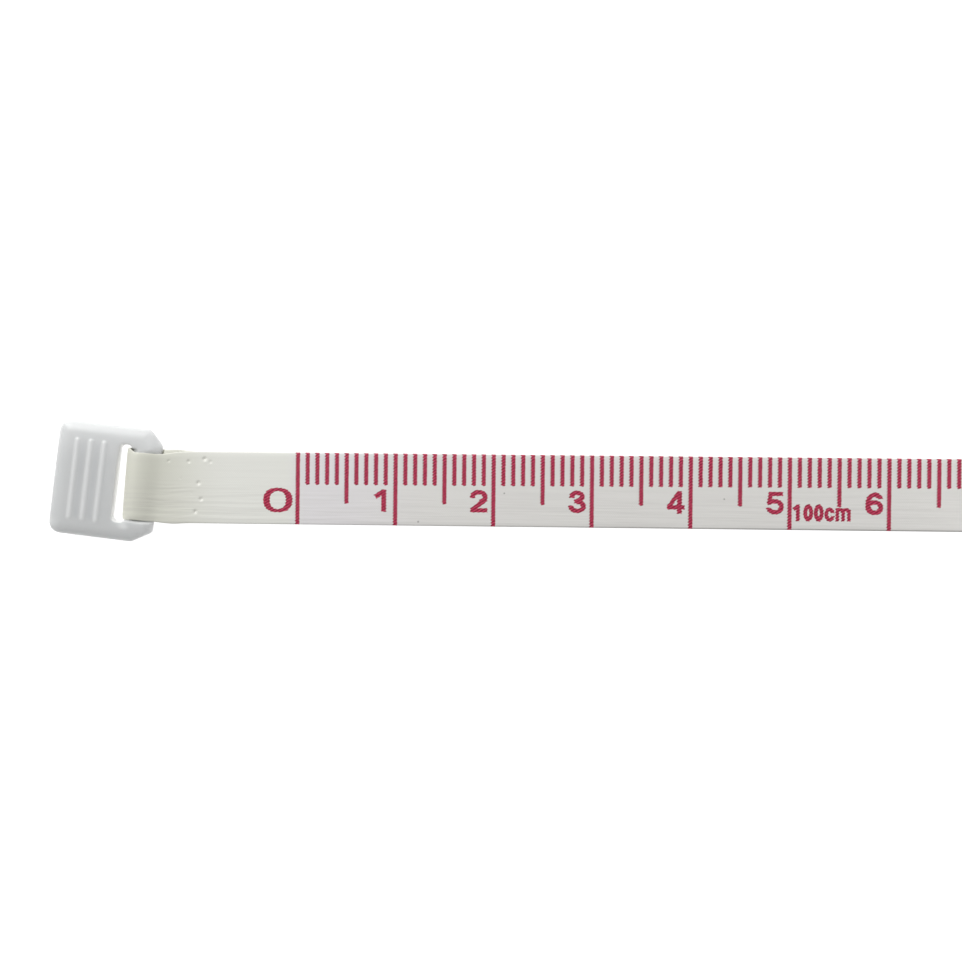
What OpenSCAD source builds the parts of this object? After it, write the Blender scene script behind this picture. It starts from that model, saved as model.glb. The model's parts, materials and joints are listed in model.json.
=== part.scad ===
// Pocket tape measure, 1 m, spring-retracting, with a push-button brake.
// Millimetres. X runs along the tape, which leaves the case towards -X. Y is the reel's axis and the
// tape's width, with the button on -Y. Z is up, and the scale's printed face is up.
// The origin is on the case's base plane, under the reel's axis.

/* [Case] */
// Height of the case from base to top
case_h = 35.2; // [34.8:0.2:37]
// Thickness of the case across the tape
case_t = 11.2; // [11.2:0.1:12]
// Wall of the shells
wall = 1.4; // [1.3:0.05:1.4]
// Height of the mouth's slot
mouth_gap = 1.3; // [1.1:0.1:1.4]

/* [Tape] */
// Width of the tape
tape_w = 7.35; // [6.8:0.05:7.4]
// Thickness of the woven tape
tape_t = 0.3; // [0.25:0.01:0.32]
// Length of tape from the mouth to the zero mark
free_length = 70; // [40:5:90]
// Distance from the zero mark back to the pull tab's bar
leader = 15.85; // [14:0.05:18]

/* [Pull tab] */
// Length of the tab along the tape
tab_l = 10.73; // [10:0.01:12]
// Width of the tab across the tape
tab_w = 11.66; // [11.2:0.02:13]
// Thickness of the tab
tab_t = 2.0; // [1.8:0.1:2.2]
// Angle at which the tab lies across the tape, in degrees
tab_skew = 6.4; // [0:0.1:8]
// Number of grip ribs on each face
rib_count = 3; // [1:1:3]

/* [Button] */
// Radius of the button's cap
cap_r = 5.32; // [5:0.02:5.4]
// Travel of the button
travel = 1.0; // [0.6:0.1:1]
// Height of the cap above the case
cap_proud = 1.0; // [1:0.1:1.4]

/* [Hidden] */
$fn = 48;
eps = 0.01;

// Reel and room for it
axis_z = case_h / 2;
room_r = axis_z - 1.7;              // reel room's radius
pack_r = room_r - 0.85;             // outside of the wound tape
lay_pitch = tape_t + 0.015;         // one turn of tape on the reel
drum_r = 11.5;
drum_in_r = drum_r - 1.3;
rib_wall = 0.9;                     // ring rib round the reel

// Levels along Y, from the front face to the back face
front_y = -case_t / 2;
back_y = case_t / 2;
front_in = front_y + wall;
back_in = back_y - wall;
split_y = -0.8;                     // parting plane of the shells
collar_y = front_in + 1.1;          // tip of the button's guide collar
web_y = collar_y + 0.2;             // front of the drum's web
web_t = 1.0;
ring_y0 = web_y + web_t + 0.05;     // friction ring
disc_y0 = ring_y0 + 0.3;            // brake disc
clip_y0 = disc_y0 + 0.6;            // retaining clip
stem_end = clip_y0 + 0.2;
plate_y0 = stem_end + 1.1;          // spring plate, clear of the pressed stem
strip_y0 = plate_y0 + 0.3;          // mainspring
strip_y1 = back_in - 0.95;
cover_y0 = strip_y1 + 0.1;          // spring cover
cover_y1 = back_in - 0.3;

// Case outline in the XZ plane: circles [x, z, r] in anticlockwise order, wrapped by tangents
mouth_x = -19.8;
CORNERS = [[mouth_x + 1.5, 1.5, 1.5], [11.6, 6, 6], [8.6, case_h - 9, 9], [-8.6, case_h - 9, 9],
           [mouth_x + 1.5, 5.5, 1.5]];
SCREWS = [[-12.75, case_h - 4.85], [12.8, 4.8], [-15.2, 6.2]];
LUG = [13.2, case_h - 4.4];
lug_r = 1.5;
boss_r = 1.9;
lug_boss_r = 2.4;
screw_r = 0.75;
head_r = 1.5;
head_seat = back_y - 1.0;

// Tape line
tape_z = axis_z - pack_r + tape_t / 2;   // middle of the tape's thickness
zero_x = mouth_x - free_length;
bar_x = zero_x - leader;
loop_x = zero_x - 9;                     // where the folded end lies flat on the tape
mouth_half = 4.0;

// Pull tab, measured from its bar's axis
tab_z = tape_z;
bar_l = 2.98;
bar_t = 1.3;
bar_back = 1.49;                         // from the bar's axis to the tab's straight end
tab_shift = 0.11;                        // the tab lies this much further towards the ticked edge
slot_w = 1.31;
slot_l = 7.88;
rib_pitch = 1.4;
rib_r = 0.27;
rib_l = 8.63;
rib_first = 2.03;                        // from the tab's round end to the first rib
fold_gap = 0.1;                          // between the bar and the tape round it
fold_half = 3.35;                        // half width of the tape at the fold

// Button stem and post
hole_r = 5.4;
cap_front = front_y - cap_proud;
cap_back = front_in - 0.2;
ear_r = 6.0;
ear_w = 1.6;
ear_y0 = front_y + 0.55;
shoulder_r = 3.1;
stem_r = 2.9;
stem_bore = 2.0;
bore_y0 = cap_front + 1.4;
post_r = 2.6;
nose_r = 1.5;
nose_y = stem_end + 0.25;
post_y0 = plate_y0 - 0.05;
bearing_r = post_r + 0.05;

// ---------- geometry helpers ----------

// Angle of the outward normal of the tangent from circle a to the next circle b, in degrees
function tangent_angle(a, b) =
    let (dx = b[0] - a[0], dz = b[1] - a[1])
    atan2(dz, dx) - acos((a[2] - b[2]) / norm([dx, dz]));

// Closed outline round a list of circles, each pulled in by inset
function wrap(circles, inset = 0, steps = 14) =
    [for (i = [0:len(circles) - 1])
        let (n = len(circles), c = circles[i],
             a0 = tangent_angle(circles[(i + n - 1) % n], c),
             a1 = tangent_angle(c, circles[(i + 1) % n]),
             turn = (a1 - a0 + 720) % 360)
        for (k = [0:steps])
            let (a = a0 + turn * k / steps)
            [c[0] + (c[2] - inset) * cos(a), c[1] + (c[2] - inset) * sin(a)]];

// Polar point about the reel's axis
function about_axis(r, a) = [r * cos(a), axis_z + r * sin(a)];

// Extrudes an XZ outline between two levels along Y
module along_y(y0, y1) {
    translate([0, y1, 0]) rotate([90, 0, 0]) linear_extrude(y1 - y0) children();
}

// Round bar along Y
module rod(r, y0, y1, at = [0, axis_z]) {
    translate([at[0], y1, at[1]]) rotate([90, 0, 0]) cylinder(r = r, h = y1 - y0);
}

// Ring about an axis along Y
module ring(r_out, r_in, y0, y1, at = [0, axis_z]) {
    difference() {
        rod(r_out, y0, y1, at);
        rod(r_in, y0 - eps, y1 + eps, at);
    }
}

// ---------- case ----------

// One half of the case, between its outer face and the parting plane
module case_half(outer, inner) {
    lo = min(outer, split_y);
    hi = max(outer, split_y);
    room_lo = min(inner, split_y) - (inner > split_y ? eps : 0);
    room_hi = max(inner, split_y) + (inner > split_y ? 0 : eps);
    rib_lo = min(inner, split_y);
    rib_hi = max(inner, split_y);
    difference() {
        union() {
            difference() {
                along_y(lo, hi) polygon(wrap(CORNERS));
                along_y(room_lo, room_hi) polygon(wrap(CORNERS, wall));
            }
            rod(room_r + rib_wall, rib_lo, rib_hi);
            for (s = SCREWS) rod(boss_r, rib_lo, rib_hi, s);
            rod(lug_boss_r, rib_lo, rib_hi, LUG);
            mouth_block(rib_lo, rib_hi);
        }
        rod(room_r, room_lo, room_hi);
        mouth_slot();
        rod(lug_r, front_y - 1, back_y + 1, LUG);
    }
}

// Solid round the tape's way out
module mouth_block(y0, y1) {
    intersection() {
        along_y(y0, y1) polygon(wrap(CORNERS));
        translate([mouth_x, y0, 0]) cube([17, y1 - y0, tape_z + mouth_gap / 2 + 1.2]);
    }
}

module mouth_slot() {
    translate([mouth_x - 1, -mouth_half, tape_z - mouth_gap / 2])
        cube([18, 2 * mouth_half, mouth_gap]);
}

module back_shell() {
    color("whitesmoke") difference() {
        case_half(back_y, back_in);
        rod(post_r, back_in - 1, back_in + 0.9);
        for (s = SCREWS) {
            rod(head_r + 0.15, head_seat, back_y + 1, s);
            rod(screw_r + 0.15, split_y - 1, back_y, s);
        }
    }
}

module front_shell() {
    color("whitesmoke") difference() {
        union() {
            case_half(front_y, front_in);
            rod(hole_r + 1.5, front_in - eps, collar_y);
        }
        rod(hole_r, front_y - 1, collar_y + 1);
        keyways();
        for (s = SCREWS) rod(screw_r - 0.1, front_y + 1, split_y + 1, s);
    }
}

// Two grooves that keep the button from turning, blind at the front
module keyways() {
    for (side = [-1, 1])
        translate([side * (hole_r + 0.2) - 0.6, front_y + 0.5, axis_z - ear_w / 2 - 0.05])
            cube([1.2, collar_y - front_y, ear_w + 0.1]);
}

module case_screws() {
    color("silver") for (s = SCREWS) case_screw(s);
}

// Pan head with a cross recess, and a shank that cuts into the front boss
module case_screw(at) {
    difference() {
        union() {
            rod(head_r, head_seat, head_seat + 0.85, at);
            rod(screw_r, front_y + 1.4, head_seat + eps, at);
        }
        for (turn = [0, 90])
            translate([at[0], head_seat + 0.65, at[1]]) rotate([0, turn, 0])
                translate([-0.85, -0.2, -0.15]) cube([1.7, 1, 0.3]);
    }
}

module centre_post() {
    color("gainsboro") difference() {
        union() {
            rod(post_r, post_y0, back_in + 0.9);
            rod(nose_r, nose_y, post_y0 + eps);
        }
        translate([0.8, strip_y0 - 0.05, axis_z - 0.2]) cube([3, strip_y1 - strip_y0 + 0.1, 0.4]);
    }
}

module thrust_washer() {
    color("ivory") ring(hole_r + 1.4, hole_r + 0.9, collar_y + 0.02, web_y - 0.05);
}

// ---------- reel ----------

pin_at = about_axis(drum_r - 0.5, 150);

module spool_drum() {
    color("lightgray") difference() {
        rod(drum_r, front_in + 0.3, cover_y1);
        rod(drum_in_r, front_in, web_y);
        rod(shoulder_r + 0.2, front_in, cover_y1 + 1);
        rod(drum_in_r - 0.9, web_y + web_t, cover_y1 + 1);
        rod(drum_in_r, plate_y0, cover_y1 + 1);
        rod(0.45, front_in, cover_y1 + 1, pin_at);
        translate([0, 0, axis_z]) rotate([0, -150, 0])
            translate([drum_r - 0.6, front_in, -0.2]) cube([1, case_t, 0.4]);
        translate([drum_in_r - 0.2, strip_y0 - 0.1, axis_z - 0.3])
            cube([0.8, strip_y1 - strip_y0 + 0.2, 0.6]);
    }
}

module spring_plate() {
    color("ivory") ring(drum_in_r - 0.03, bearing_r, plate_y0, plate_y0 + 0.2);
}

module spring_cover() {
    color("ivory") ring(drum_in_r - 0.03, bearing_r, cover_y0, cover_y1);
}

// Flat spiral strip from the post's slot to the drum's notch
strip_t = 0.12;
strip_r0 = 3.0;
strip_turns = 9;
strip_pitch = (drum_in_r - 0.4 - strip_r0) / strip_turns;

module mainspring() {
    steps = strip_turns * 20;
    centre = [for (i = [0:steps]) [strip_r0 + strip_pitch * i / 20, i * 18]];
    outer = [for (p = centre) about_axis(p[0] + strip_t / 2, p[1])];
    inner = [for (i = [steps:-1:0]) about_axis(centre[i][0] - strip_t / 2, centre[i][1])];
    color("slategray") along_y(strip_y0, strip_y1) {
        polygon(concat(outer, inner));
        translate([1.2, axis_z - strip_t / 2]) square([strip_r0 - 1.2, strip_t]);
        translate([drum_in_r - 0.4, axis_z - strip_t / 2]) square([0.85, strip_t]);
    }
}

// Wound tape. Its outermost turn starts at the bottom, where the free tape leaves it
module tape_coil() {
    steps = 96;
    edge = [for (i = [0:steps]) about_axis(pack_r - lay_pitch * i / steps, -90 + 360 * i / steps)];
    color("whitesmoke") difference() {
        along_y(-tape_w / 2, tape_w / 2) polygon(edge);
        rod(drum_r + 0.02, -tape_w, tape_w);
    }
}

module tape_anchor_pin() {
    color("silver") rod(0.42, -tape_w / 2, tape_w / 2, pin_at);
}

// ---------- button and brake ----------

module push_button() {
    color("crimson") difference() {
        union() {
            translate([0, 0, axis_z]) rotate([90, 0, 0]) rotate_extrude()
                polygon([[0, -cap_back], [cap_r, -cap_back], [cap_r, -cap_front - 0.4],
                         [cap_r - 0.4, -cap_front], [0, -cap_front]]);
            for (side = [-1, 1])
                translate([side > 0 ? cap_r - 0.5 : -ear_r, ear_y0, axis_z - ear_w / 2])
                    cube([ear_r - cap_r + 0.5, cap_back - ear_y0, ear_w]);
            rod(shoulder_r, cap_back - eps, disc_y0);
            rod(stem_r, disc_y0 - eps, stem_end);
        }
        rod(stem_bore, bore_y0, stem_end + 1);
        ring(stem_r + 1, stem_r - 0.4, clip_y0, clip_y0 + 0.15);
    }
}

module brake_disc() {
    color("dimgray") ring(8.0, stem_r + 0.02, disc_y0, clip_y0);
}

module friction_ring() {
    color("black") ring(8.0, 5.5, ring_y0, disc_y0);
}

// Split ring in the stem's groove
module brake_clip() {
    color("silver") difference() {
        ring(3.6, stem_r - 0.4, clip_y0, clip_y0 + 0.15);
        translate([-0.9, clip_y0 - 1, axis_z - 5]) cube([1.8, 3, 5]);
    }
}

// Helical wire between the cap's bore and the post's nose
wire_r = 0.16;
coil_r = 1.55;
coil_turns = 7;

module button_spring() {
    sides = 6;
    steps = coil_turns * 14;
    y_first = bore_y0 + wire_r + 0.02;
    y_last = nose_y - wire_r - 0.02;
    points = [for (i = [0:steps], s = [0:sides - 1])
        let (a = 360 * coil_turns * i / steps, b = 360 * s / sides, r = coil_r + wire_r * cos(b))
        [r * cos(a), y_first + (y_last - y_first) * i / steps + wire_r * sin(b), axis_z + r * sin(a)]];
    skin = [for (i = [0:steps - 1], s = [0:sides - 1])
        [i * sides + s, i * sides + (s + 1) % sides,
         (i + 1) * sides + (s + 1) % sides, (i + 1) * sides + s]];
    first = [for (s = [sides - 1:-1:0]) s];
    last = [for (s = [0:sides - 1]) steps * sides + s];
    color("silver") polyhedron(points, concat(skin, [first, last]));
}

// ---------- free end of the tape ----------

module tape_blade() {
    color("whitesmoke")
        translate([loop_x, -tape_w / 2, tape_z - tape_t / 2])
            cube([-0.02 - loop_x, tape_w, tape_t]);
}

// Centre line of the fold seen from the side, as [distance from the bar, height]: from the tape,
// over the bar, down through the slot and back under to the tape
fold_top = bar_t / 2 + fold_gap + tape_t / 2;
fold_left = -bar_l / 2 - fold_gap - tape_t / 2;
bend = 0.35;
run = loop_x - bar_x;
under = -tape_t - 0.01;
FOLD = concat(
    [for (k = [0:6]) [run - (run - bar_back) * k / 6, fold_top * (1 - cos(180 * k / 6)) / 2]],
    [for (k = [0:4]) [fold_left + bend - bend * sin(22.5 * k), fold_top - bend + bend * cos(22.5 * k)]],
    [for (k = [0:4]) [fold_left + bend - bend * cos(22.5 * k), -fold_top + bend - bend * sin(22.5 * k)]],
    [for (k = [0:6]) [bar_back + (run - bar_back) * k / 6,
                      -fold_top + (fold_top + under) * (1 - cos(180 * k / 6)) / 2]]);

// Unit normal of the fold's centre line at point i
function fold_normal(i) =
    let (a = FOLD[max(i - 1, 0)], b = FOLD[min(i + 1, len(FOLD) - 1)], d = (b - a) / norm(b - a),
         flat = i == 0 || i == len(FOLD) - 1)
    flat ? [0, i == 0 ? 1 : -1] : [d[1], -d[0]];

// Turns with the tab at the bar and runs straight with the tape further on
function fold_place(p, y) =
    let (w = max(0, min(1, 1 - (p[0] - bar_back) / (run - bar_back))),
         half = tape_w / 2 + (fold_half - tape_w / 2) * w,
         turned = [p[0] * cos(tab_skew) + y * half * sin(tab_skew),
                   -p[0] * sin(tab_skew) + y * half * cos(tab_skew)],
         straight = [p[0], y * half])
    [bar_x + turned[0] * w + straight[0] * (1 - w), turned[1] * w + straight[1] * (1 - w),
     tape_z + p[1]];

module tape_loop() {
    n = len(FOLD);
    points = [for (i = [0:n - 1], side = [1, -1], y = [-1, 1])
        fold_place(FOLD[i] + fold_normal(i) * side * tape_t / 2, y)];
    skin = [for (i = [0:n - 2], e = [[0, 1], [1, 3], [3, 2], [2, 0]])
        [4 * i + e[0], 4 * (i + 1) + e[0], 4 * (i + 1) + e[1], 4 * i + e[1]]];
    ends = [[0, 1, 3, 2], [4 * n - 2, 4 * n - 1, 4 * n - 3, 4 * n - 4]];
    color("whitesmoke") polyhedron(points, concat(skin, ends));
}

// Outline of the tab, pulled in by inset: two round corners, two cut corners
round_r = 1.0;
cut = 1.4;

function tab_outline(inset) =
    let (x0 = bar_back - tab_l + inset, x1 = bar_back - inset, y1 = tab_w / 2 - inset,
         r = round_r - inset / 2, c = cut - inset * 0.4)
    concat(
        [for (k = [0:6]) [x0 + r - r * cos(15 * k), -y1 + r - r * sin(15 * k)]],
        [[x1 - c, -y1], [x1, -y1 + c], [x1, y1 - c], [x1 - c, y1]],
        [for (k = [0:6]) [x0 + r - r * sin(15 * k), y1 - r + r * cos(15 * k)]]);

module tab_slab(inset, thick) {
    translate([0, 0, -thick / 2]) linear_extrude(thick) polygon(tab_outline(inset));
}

module pull_tab() {
    color("white") translate([bar_x, 0, tab_z]) rotate([0, 0, -tab_skew]) translate([0, tab_shift, 0]) {
        difference() {
            hull() {
                tab_slab(0, tab_t - 1.1);
                tab_slab(0.25, tab_t - 0.4);
                tab_slab(0.7, tab_t);
            }
            tab_slot();
            for (z = [-bar_t / 2 - 2, bar_t / 2]) translate([-bar_l / 2 - slot_w, -slot_l / 2, z])
                cube([bar_l + slot_w + 1, slot_l, 2]);
        }
        for (i = [0:rib_count - 1], side = [-1, 1]) tab_rib(i, side);
    }
}

// Slot with round corners beside the bar
module tab_slot() {
    x1 = -bar_l / 2;
    for (side = [-1, 1]) translate([x1 - slot_w / 2, side * (slot_l - slot_w) / 2, -tab_t])
        cylinder(d = slot_w, h = 2 * tab_t);
    translate([x1 - slot_w, -(slot_l - slot_w) / 2, -tab_t]) cube([slot_w, slot_l - slot_w, 2 * tab_t]);
}

// One grip rib, sunk to half its height in the tab's face
module tab_rib(i, side) {
    half = rib_l / 2 - rib_r;
    translate([bar_back - tab_l + rib_first + rib_pitch * i, 0, side * (tab_t / 2 - 0.05)]) {
        rotate([90, 0, 0]) cylinder(r = rib_r, h = 2 * half, center = true);
        for (end = [-half, half]) translate([0, end, 0]) sphere(r = rib_r);
    }
}

back_shell();
front_shell();
case_screws();
centre_post();
thrust_washer();
spool_drum();
spring_plate();
mainspring();
spring_cover();
tape_coil();
tape_anchor_pin();
push_button();
brake_disc();
friction_ring();
brake_clip();
button_spring();
tape_blade();
tape_loop();
pull_tab();
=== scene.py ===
import json
import math

import bmesh
import bpy
from mathutils import Matrix, Vector
from mathutils.geometry import delaunay_2d_cdt

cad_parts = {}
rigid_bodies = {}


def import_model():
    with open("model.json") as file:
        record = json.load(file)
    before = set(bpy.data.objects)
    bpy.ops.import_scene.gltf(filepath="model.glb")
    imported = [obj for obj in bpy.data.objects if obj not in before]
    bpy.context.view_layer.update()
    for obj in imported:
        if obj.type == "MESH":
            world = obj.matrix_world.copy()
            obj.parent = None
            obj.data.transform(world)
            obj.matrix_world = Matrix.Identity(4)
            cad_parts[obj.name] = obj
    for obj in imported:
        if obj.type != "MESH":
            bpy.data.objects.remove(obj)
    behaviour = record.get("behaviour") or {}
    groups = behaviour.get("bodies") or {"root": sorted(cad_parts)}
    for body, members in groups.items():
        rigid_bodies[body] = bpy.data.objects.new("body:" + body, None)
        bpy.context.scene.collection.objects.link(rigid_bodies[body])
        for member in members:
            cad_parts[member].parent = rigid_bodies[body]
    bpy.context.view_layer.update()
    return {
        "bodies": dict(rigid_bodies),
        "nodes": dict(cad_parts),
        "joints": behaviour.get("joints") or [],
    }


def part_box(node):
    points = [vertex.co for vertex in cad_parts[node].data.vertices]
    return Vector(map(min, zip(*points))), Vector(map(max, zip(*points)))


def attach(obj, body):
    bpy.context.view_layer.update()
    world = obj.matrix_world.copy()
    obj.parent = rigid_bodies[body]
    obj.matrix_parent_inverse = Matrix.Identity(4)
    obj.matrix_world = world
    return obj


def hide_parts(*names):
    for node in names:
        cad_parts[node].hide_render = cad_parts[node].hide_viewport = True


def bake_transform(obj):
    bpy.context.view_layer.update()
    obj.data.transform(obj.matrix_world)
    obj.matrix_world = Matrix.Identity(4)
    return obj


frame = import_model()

# Geometry below is written in millimetres in the CAD frame and scaled to metres in make_mesh().
MM = 0.001
JOINTS = {j["name"]: j for j in frame["joints"]}


def in_mm(v):
    return Vector([c / MM for c in v])


def box_mm(node):
    return [in_mm(corner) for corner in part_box(node)]


# -------------------- sizes, from the frame
BLADE_LO, BLADE_HI = box_mm("tape_blade")
BACK_LO, BACK_HI = box_mm("back_shell")
FRONT_LO, FRONT_HI = box_mm("front_shell")
BUTTON_LO, BUTTON_HI = box_mm("push_button")

TAPE_W = BLADE_HI.y - BLADE_LO.y
TAPE_T = BLADE_HI.z - BLADE_LO.z
TAPE_Z = (BLADE_HI.z + BLADE_LO.z) / 2
LAP = 9.0  # the folded end reaches this far before the zero mark
ZERO_X = BLADE_LO.x + LAP
MOUTH_X = BACK_LO.x
BAR = in_mm(JOINTS["tab_swing"]["pos_m"])
BAR_AXIS = Vector(JOINTS["tab_swing"]["axis"])
SKEW = math.atan2(BAR_AXIS.x, BAR_AXIS.y)  # the tab lies this much clockwise of the tape
REEL_Z = JOINTS["spool_spin"]["pos_m"][2] / MM
CASE_H = BACK_HI.z
SPLIT_Y = FRONT_HI.y


# -------------------- mesh helpers
def make_mesh(name, points, faces, smooth=True):
    """A mesh object from points in millimetres."""
    mesh = bpy.data.meshes.new(name)
    mesh.from_pydata([Vector(p) * MM for p in points], [], [list(f) for f in faces])
    mesh.validate()
    obj = bpy.data.objects.new(name, mesh)
    bpy.context.scene.collection.objects.link(obj)
    fix_normals(obj)
    if smooth:
        mesh.shade_smooth()
    return obj


def fix_normals(obj):
    """Turns all faces outward."""
    bm = bmesh.new()
    bm.from_mesh(obj.data)
    bmesh.ops.recalc_face_normals(bm, faces=bm.faces)
    bm.to_mesh(obj.data)
    bm.free()


def loft(rings, cap_start=True, cap_end=True):
    """Points and faces of a skin through closed rings that have the same number of points."""
    n = len(rings[0])
    points = [p for ring in rings for p in ring]
    faces = [(i * n + k, i * n + (k + 1) % n, (i + 1) * n + (k + 1) % n, (i + 1) * n + k)
             for i in range(len(rings) - 1) for k in range(n)]
    if cap_start:
        faces.append(list(range(n))[::-1])
    if cap_end:
        last = (len(rings) - 1) * n
        faces.append([last + k for k in range(n)])
    return points, faces


def boolean(obj, cutter, operation):
    """Combines obj with cutter, which is then deleted."""
    mod = obj.modifiers.new(operation, "BOOLEAN")
    mod.operation = operation
    mod.solver = "EXACT"
    mod.object = cutter
    bpy.context.view_layer.update()
    result = bpy.data.meshes.new_from_object(obj.evaluated_get(bpy.context.evaluated_depsgraph_get()))
    obj.modifiers.clear()
    obj.data = result
    bpy.data.objects.remove(cutter)


def merge_points(obj, distance, shortest_edge=0.0):
    """Joins points that lie closer than distance, and removes faces thinner than shortest_edge."""
    bm = bmesh.new()
    bm.from_mesh(obj.data)
    bmesh.ops.remove_doubles(bm, verts=bm.verts, dist=distance * MM)
    if shortest_edge:
        bmesh.ops.dissolve_degenerate(bm, edges=bm.edges, dist=shortest_edge * MM)
    bm.to_mesh(obj.data)
    bm.free()


def finish_shading(obj, angle=32):
    """Smooth shading with sharp edges kept, and the faces across the reel's axis kept flat."""
    merge_points(obj, 0.005, 0.002)
    obj.data.shade_smooth()
    obj.data.set_sharp_from_angle(angle=math.radians(angle))
    for face in obj.data.polygons:
        face.use_smooth = abs(face.normal.y) < 0.9999
    mod = obj.modifiers.new("even normals", "WEIGHTED_NORMAL")
    mod.keep_sharp = True
    return obj


def copy_of_node(node, name):
    """A new object with a copy of a CAD node's mesh."""
    obj = bpy.data.objects.new(name, frame["nodes"][node].data.copy())
    bpy.context.scene.collection.objects.link(obj)
    obj.data.materials.clear()
    merge_points(obj, 0.0001)
    return obj


def wrap(circles, inset=0.0, steps=14):
    """Closed outline round circles (x, z, r) in anticlockwise order, each pulled in by inset."""
    def tangent(a, b):
        dx, dz = b[0] - a[0], b[1] - a[1]
        return math.atan2(dz, dx) - math.acos((a[2] - b[2]) / math.hypot(dx, dz))

    outline = []
    for i, c in enumerate(circles):
        start = tangent(circles[i - 1], c)
        turn = (tangent(c, circles[(i + 1) % len(circles)]) - start) % (2 * math.pi)
        for k in range(steps + 1):
            a = start + turn * k / steps
            outline.append((c[0] + (c[2] - inset) * math.cos(a), c[1] + (c[2] - inset) * math.sin(a)))
    return outline


def rounded(corners, inset=0.0, steps=7, spacing=0.5):
    """Convex outline through corners (a, b, radius), anticlockwise, pulled in by inset.
    Long edges are divided, so that each is about spacing long."""
    n = len(corners)
    lines = []
    for i in range(n):
        p, q = Vector(corners[i][:2]), Vector(corners[(i + 1) % n][:2])
        d = (q - p).normalized()
        normal = Vector((-d.y, d.x))
        lines.append((p + normal * inset, d))
    outline = []
    for i in range(n):
        (p, d), (q, e) = lines[i - 1], lines[i]
        t = ((q - p).x * e.y - (q - p).y * e.x) / (d.x * e.y - d.y * e.x)
        corner = p + d * t
        r = max(corners[i][2] - inset, 0.02)
        turn = math.atan2(d.x * e.y - d.y * e.x, d.dot(e))
        back = r * math.tan(turn / 2)
        centre = corner - d * back + Vector((-d.y, d.x)) * r
        a0 = math.atan2(-d.x, d.y)
        angles = [a0 + turn * k / steps for k in range(steps + 1)]
        arc = [centre + Vector((math.cos(angle), math.sin(angle))) * r for angle in angles]
        if outline:
            outline += between(outline[-1], arc[0], spacing)
        outline += arc
    return outline + between(outline[-1], outline[0], spacing)


def between(a, b, spacing):
    """Points that divide the line from a to b, without its ends."""
    n = max(1, round((b - a).length / spacing))
    return [a.lerp(b, k / n) for k in range(1, n)]


# -------------------- shader helpers
def operation(kind):
    """A method of Value that adds one math node."""
    def method(self, *others):
        return self.net.math(kind, self, *others)
    return method


class Value:
    """One number in a material's node tree. Arithmetic on it adds math nodes."""

    def __init__(self, net, socket):
        self.net, self.socket = net, socket

    __add__ = __radd__ = operation("ADD")
    __sub__ = operation("SUBTRACT")
    __mul__ = __rmul__ = operation("MULTIPLY")
    __truediv__ = operation("DIVIDE")
    __pow__ = operation("POWER")
    above = operation("GREATER_THAN")
    below = operation("LESS_THAN")
    max = operation("MAXIMUM")
    min = operation("MINIMUM")
    abs = operation("ABSOLUTE")
    floor = operation("FLOOR")
    fract = operation("FRACT")
    sin = operation("SINE")
    sqrt = operation("SQRT")

    def __rsub__(self, other):
        return self.net.math("SUBTRACT", other, self)

    def clamp(self):
        return self.net.math("ADD", self, 0.0, clamp=True)


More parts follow.
